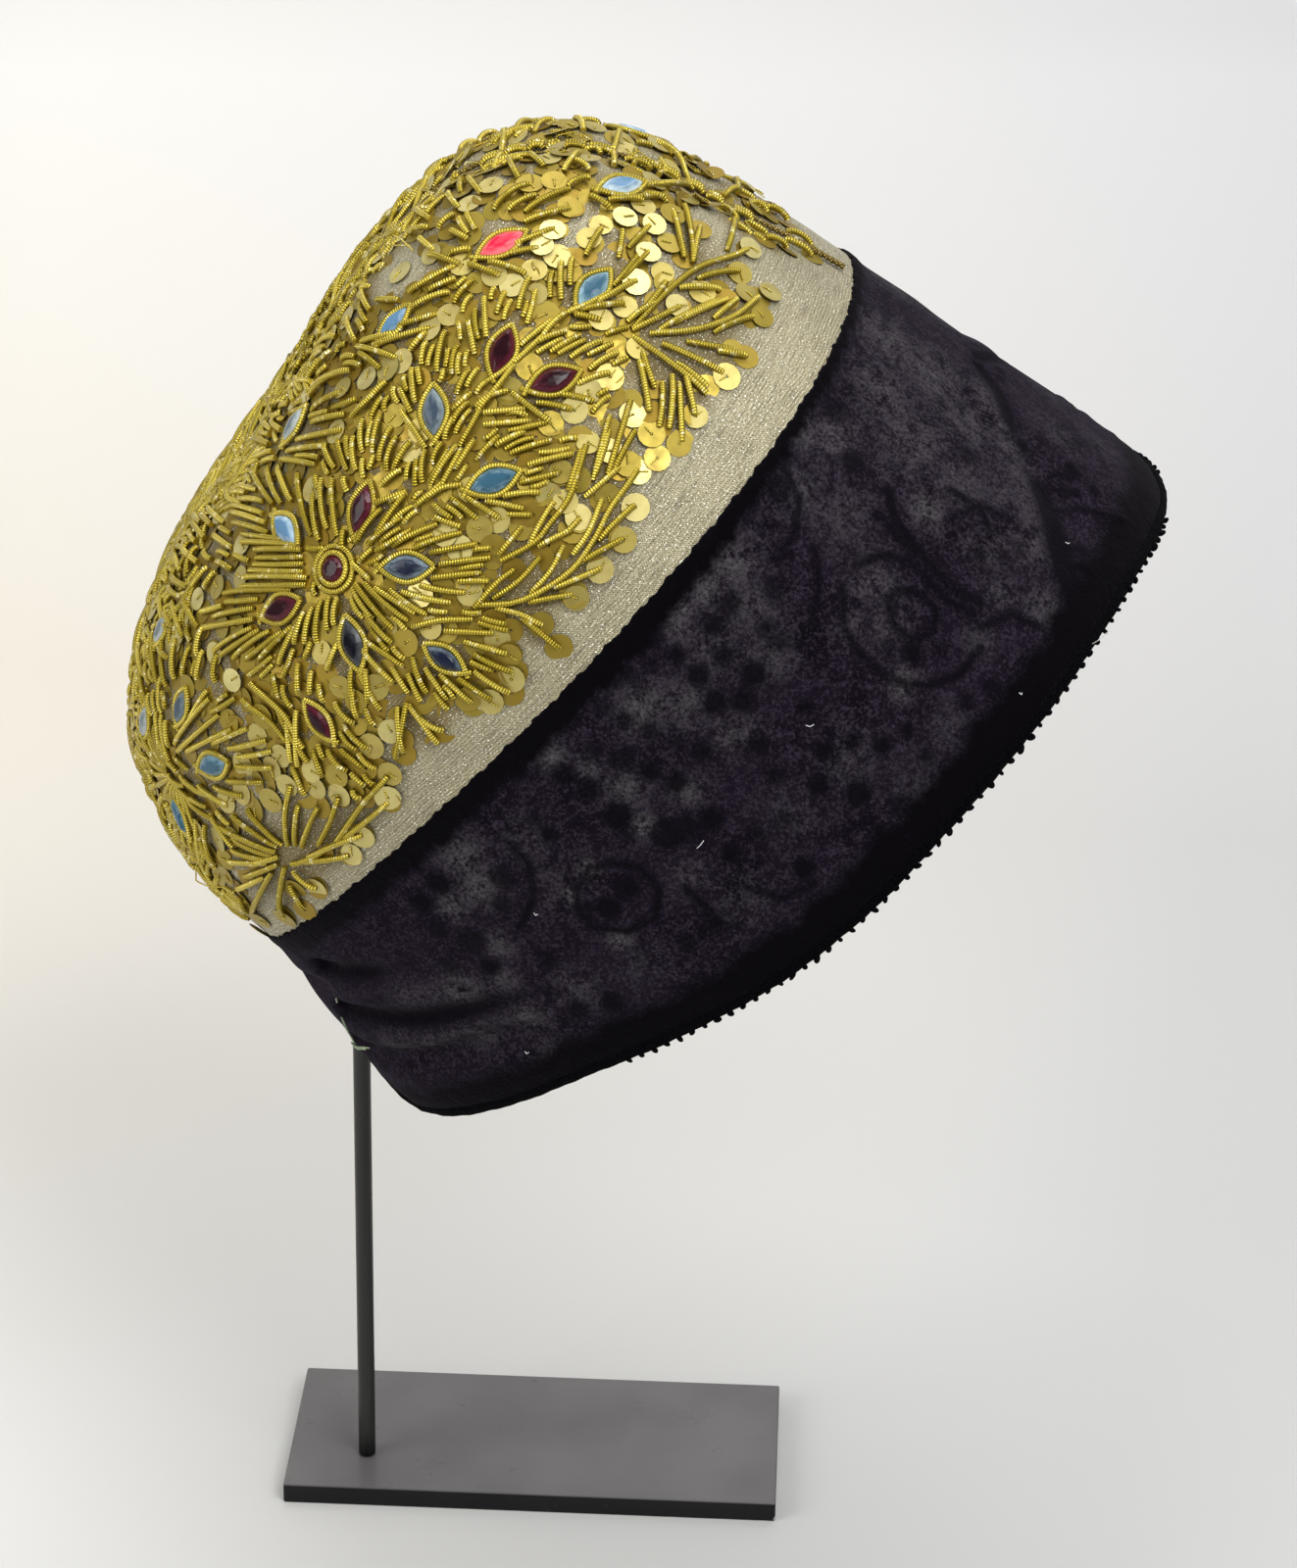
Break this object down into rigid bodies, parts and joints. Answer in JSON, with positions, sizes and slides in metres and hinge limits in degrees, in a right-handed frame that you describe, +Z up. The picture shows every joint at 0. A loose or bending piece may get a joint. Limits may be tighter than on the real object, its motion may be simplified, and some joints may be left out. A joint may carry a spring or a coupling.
{
  "type": "embroidered coif on a post stand",
  "caption": "Close-fitting coif of embroidered metal cloth with a velvet band, held by a plain post on a flat plate.",
  "frame": {"origin": "middle of the plate's underside, where the stand rests", "axes": "+X toward the side the coif's face opening looks, along the plate; +Y the wearer's left; +Z up along the post"},
  "size_m": [0.2202, 0.1664, 0.3268],
  "materials": {
    "stand_paint": "black paint, half gloss",
    "metal_cloth": "silver-gilt metal cloth, dulled",
    "gold_cord": "old gold thread",
    "figured_velvet": "purple-black figured silk velvet, worn",
    "rolled_edge": "black silk, rolled",
    "glass_sky": "foil-backed cut glass",
    "glass_sea": "foil-backed cut glass",
    "glass_steel": "foil-backed cut glass",
    "glass_slate": "foil-backed cut glass",
    "glass_midnight": "foil-backed cut glass",
    "glass_ice": "foil-backed cut glass",
    "glass_garnet": "foil-backed cut glass",
    "glass_scarlet": "foil-backed cut glass"
  },
  "bodies": {
    "root": {"base_plate": "stand_paint", "post": "stand_paint", "crown_left": "metal_cloth", "crown_right": "metal_cloth", "seam_cord": "gold_cord", "velvet_band": "figured_velvet", "rim_binding": "rolled_edge", "stone_brow_left": "glass_sky", "stone_bright_left": "glass_scarlet", "stone_temple_left": "glass_sea", "stone_upper_front_left": "glass_sky", "stone_pair_upper_left": "glass_garnet", "stone_pair_lower_left": "glass_garnet", "stone_side_upper_left": "glass_steel", "stone_upper_side_left": "glass_ice", "stone_side_lower_left": "glass_sea", "stone_petal_front_left": "glass_garnet", "stone_petal_top_left": "glass_sky", "stone_heart_left": "glass_garnet", "stone_petal_low_left": "glass_slate", "stone_petal_back_left": "glass_garnet", "stone_petal_nape_left": "glass_midnight", "stone_lower_left": "glass_slate", "stone_lower_back_left": "glass_garnet", "stone_back_upper_left": "glass_steel", "stone_back_left": "glass_sea", "stone_back_lower_left": "glass_sea", "stone_nape_upper_left": "glass_ice", "stone_crown_back_left": "glass_ice", "stone_brow_right": "glass_sky", "stone_bright_right": "glass_scarlet", "stone_temple_right": "glass_sea", "stone_upper_front_right": "glass_sky", "stone_pair_upper_right": "glass_garnet", "stone_pair_lower_right": "glass_garnet", "stone_side_upper_right": "glass_steel", "stone_upper_side_right": "glass_ice", "stone_side_lower_right": "glass_sea", "stone_petal_front_right": "glass_garnet", "stone_petal_top_right": "glass_sky", "stone_heart_right": "glass_garnet", "stone_petal_low_right": "glass_slate", "stone_petal_back_right": "glass_garnet", "stone_petal_nape_right": "glass_midnight", "stone_lower_right": "glass_slate", "stone_lower_back_right": "glass_garnet", "stone_back_upper_right": "glass_steel", "stone_back_right": "glass_sea", "stone_back_lower_right": "glass_sea", "stone_nape_upper_right": "glass_ice", "stone_crown_back_right": "glass_ice"}
  },
  "joints": []
}
